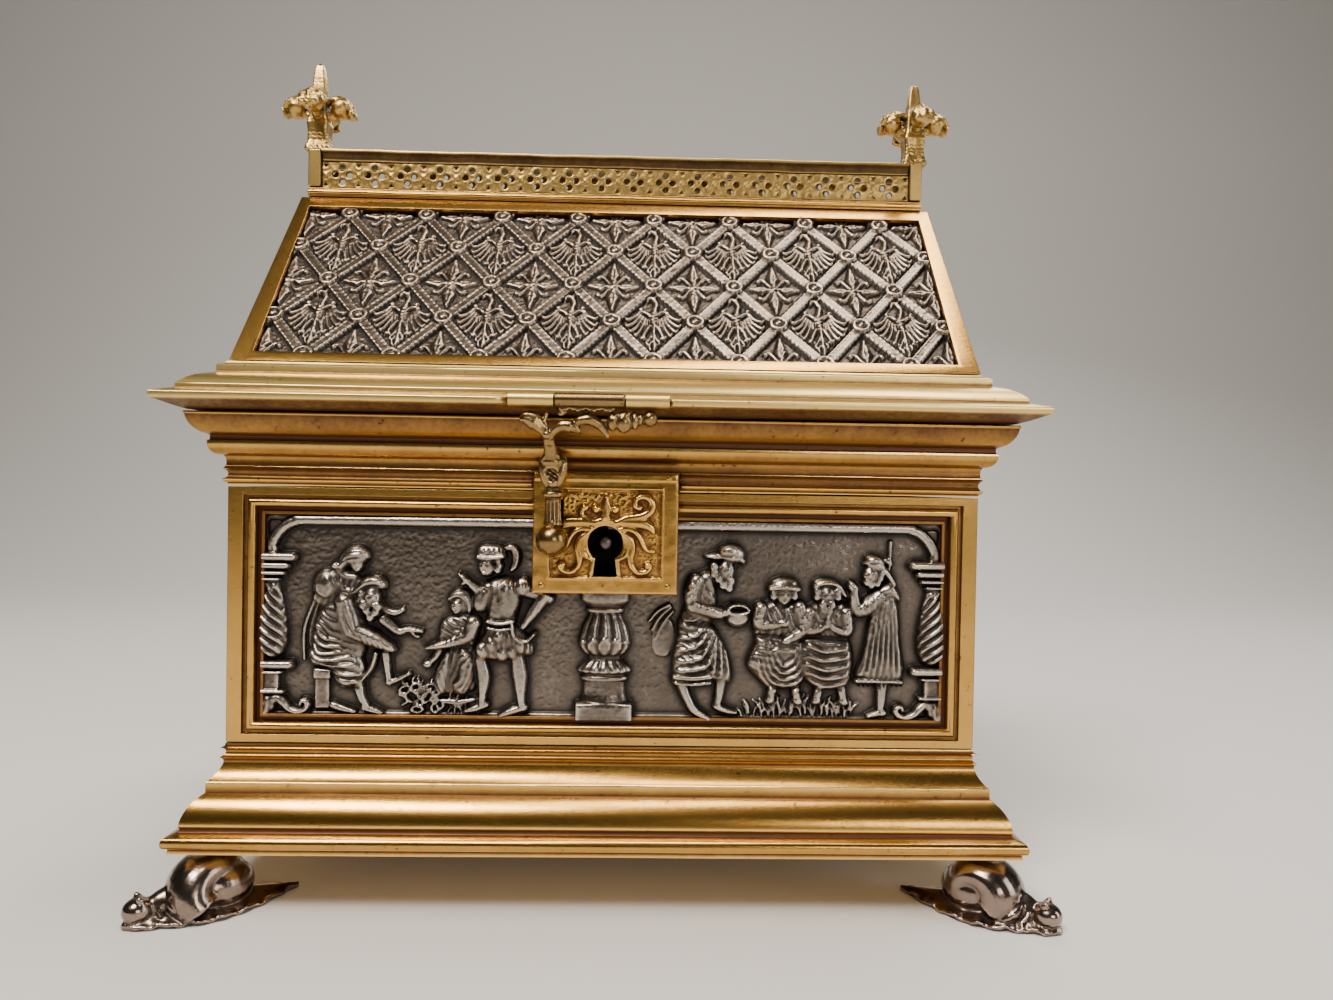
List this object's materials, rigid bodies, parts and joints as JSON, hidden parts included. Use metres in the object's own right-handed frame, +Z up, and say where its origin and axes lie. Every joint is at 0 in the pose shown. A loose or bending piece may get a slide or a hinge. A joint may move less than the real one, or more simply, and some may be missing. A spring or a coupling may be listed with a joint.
{
  "type": "tabernacle box",
  "caption": "Gilt-brass shrine casket on snail feet, with silvered relief panels, a hinged pitched-roof lid with pierced cresting, and a hasp lock.",
  "frame": {"origin": "centre of the casket's footprint, on the plane of the soles", "axes": "+Z up; the lock and hasp face -Y; +X to the right as seen from the front"},
  "size_m": [0.2002, 0.114, 0.2056],
  "materials": {
    "gilt_brass": "gilt, polished on edges, darker in recesses",
    "antique_brass": "aged, dull gold",
    "oxidised_silver": "silvered relief with a dark oxidised ground",
    "dark_silver": "polished, darkened silver",
    "steel": "plain steel, aged"
  },
  "bodies": {
    "case": {"base_moulding": "gilt_brass", "bottom_plate": "antique_brass", "case_cornice": "gilt_brass", "foot_front_left": "dark_silver", "foot_front_right": "dark_silver", "foot_rear_left": "dark_silver", "foot_rear_right": "dark_silver", "front_wall": "gilt_brass", "left_wall": "gilt_brass", "lock_case": "steel", "lock_pin": "steel", "lock_plate": "gilt_brass", "rear_hinge_case_leaf_left": "gilt_brass", "rear_hinge_case_leaf_right": "gilt_brass", "rear_hinge_pin_left": "steel", "rear_hinge_pin_right": "steel", "rear_wall": "gilt_brass", "relief_front": "oxidised_silver", "relief_left": "oxidised_silver", "relief_rear": "oxidised_silver", "relief_right": "oxidised_silver", "right_wall": "gilt_brass"},
    "lid": {"cresting_front": "antique_brass", "cresting_post_left": "antique_brass", "cresting_post_right": "antique_brass", "cresting_rail": "antique_brass", "cresting_rear": "antique_brass", "finial_left": "antique_brass", "finial_right": "antique_brass", "gable_left": "gilt_brass", "gable_left_plate": "oxidised_silver", "gable_right": "gilt_brass", "gable_right_plate": "oxidised_silver", "hasp_barrel_left": "gilt_brass", "hasp_barrel_right": "gilt_brass", "hasp_pin": "steel", "lid_cornice": "gilt_brass", "rear_hinge_lid_leaf_left": "gilt_brass", "rear_hinge_lid_leaf_right": "gilt_brass", "ridge_beam": "gilt_brass", "roof_front_diaper": "oxidised_silver", "roof_front_frame": "gilt_brass", "roof_rear_diaper": "oxidised_silver", "roof_rear_frame": "gilt_brass"},
    "hasp": {"hasp": "antique_brass", "hasp_knob": "antique_brass", "hasp_staple": "steel"},
    "bolt": {"lock_bolt": "steel"}
  },
  "joints": [
    {"name": "lid_hinge", "type": "hinge", "parent": "case", "child": "lid", "pos_m": [0, 0.0555, 0.1106], "axis": [-1, 0, 0], "range_deg": [0, 100]},
    {"name": "hasp_hinge", "type": "hinge", "parent": "lid", "child": "hasp", "pos_m": [-0.0033, -0.055, 0.1124], "axis": [-1, 0, 0], "range_deg": [0, 110]},
    {"name": "bolt_slide", "type": "slide", "parent": "case", "child": "bolt", "axis": [-1, 0, 0], "range_m": [0, 0.0035]}
  ]
}
